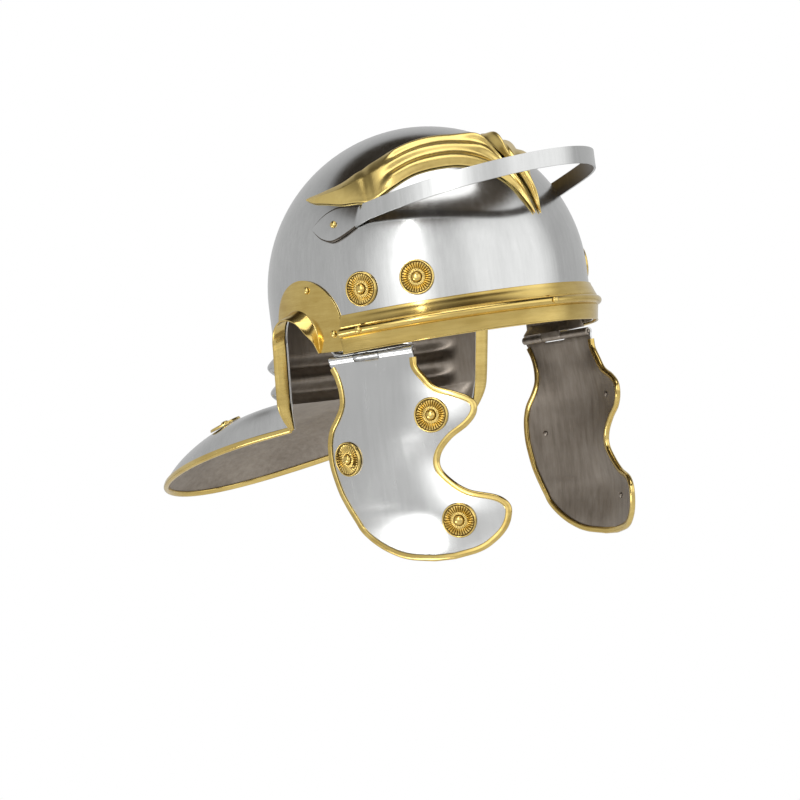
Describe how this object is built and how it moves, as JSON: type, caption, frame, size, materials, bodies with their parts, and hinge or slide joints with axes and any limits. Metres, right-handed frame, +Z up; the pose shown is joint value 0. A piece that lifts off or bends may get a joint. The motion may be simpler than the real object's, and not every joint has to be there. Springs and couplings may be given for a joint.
{
  "type": "roman legionary helmet",
  "caption": "Steel helmet with a brow bar, a wide neck guard, brass ear guards, eyebrows and rosettes, and cheek pieces on hinges.",
  "frame": {"origin": "the inside of the crown at its highest point, where the helmet sits on the head", "axes": "+Z up, -Y the way the wearer looks, +X the wearer's left"},
  "size_m": [0.2272, 0.4101, 0.297],
  "materials": {
    "steel": "satin polish",
    "brass": "polished"
  },
  "bodies": {
    "helmet": {"bowl": "steel", "brow_bar": "steel", "hinge_leaf_right": "steel", "hinge_leaf_left": "steel", "hinge_pin_right": "steel", "hinge_pin_left": "steel", "neck_guard_trim": "brass", "brow_band": "brass", "rivet_band_front": "brass", "ear_guard_right": "brass", "ear_guard_left": "brass", "eyebrow_right": "brass", "eyebrow_left": "brass", "rosette_temple_right": "brass", "rosette_temple_left": "brass", "rosette_brow_right": "brass", "rosette_brow_left": "brass", "rosette_neck_right": "brass", "rosette_neck_left": "brass", "rivet_ear_upper_right": "brass", "rivet_ear_upper_left": "brass", "rivet_ear_front_right": "brass", "rivet_ear_front_left": "brass", "rivet_bar_right": "brass", "rivet_bar_left": "brass", "rivet_band_right": "brass", "rivet_band_left": "brass"},
    "cheek_piece_right": {"cheek_plate_right": "steel", "cheek_trim_right": "brass", "rosette_cheek_rear_right": "brass", "rosette_cheek_front_right": "brass", "rosette_cheek_lower_right": "brass"},
    "cheek_piece_left": {"cheek_plate_left": "steel", "cheek_trim_left": "brass", "rosette_cheek_rear_left": "brass", "rosette_cheek_front_left": "brass", "rosette_cheek_lower_left": "brass"}
  },
  "joints": [
    {"name": "cheek_hinge_right", "type": "hinge", "parent": "helmet", "child": "cheek_piece_right", "pos_m": [-0.09165, -0.031, -0.1538], "axis": [-0.1317, 0.9913, 0], "range_deg": [-15, 85]},
    {"name": "cheek_hinge_left", "type": "hinge", "parent": "helmet", "child": "cheek_piece_left", "pos_m": [0.09165, -0.031, -0.1538], "axis": [-0.1317, -0.9913, 0], "range_deg": [-15, 85]}
  ]
}
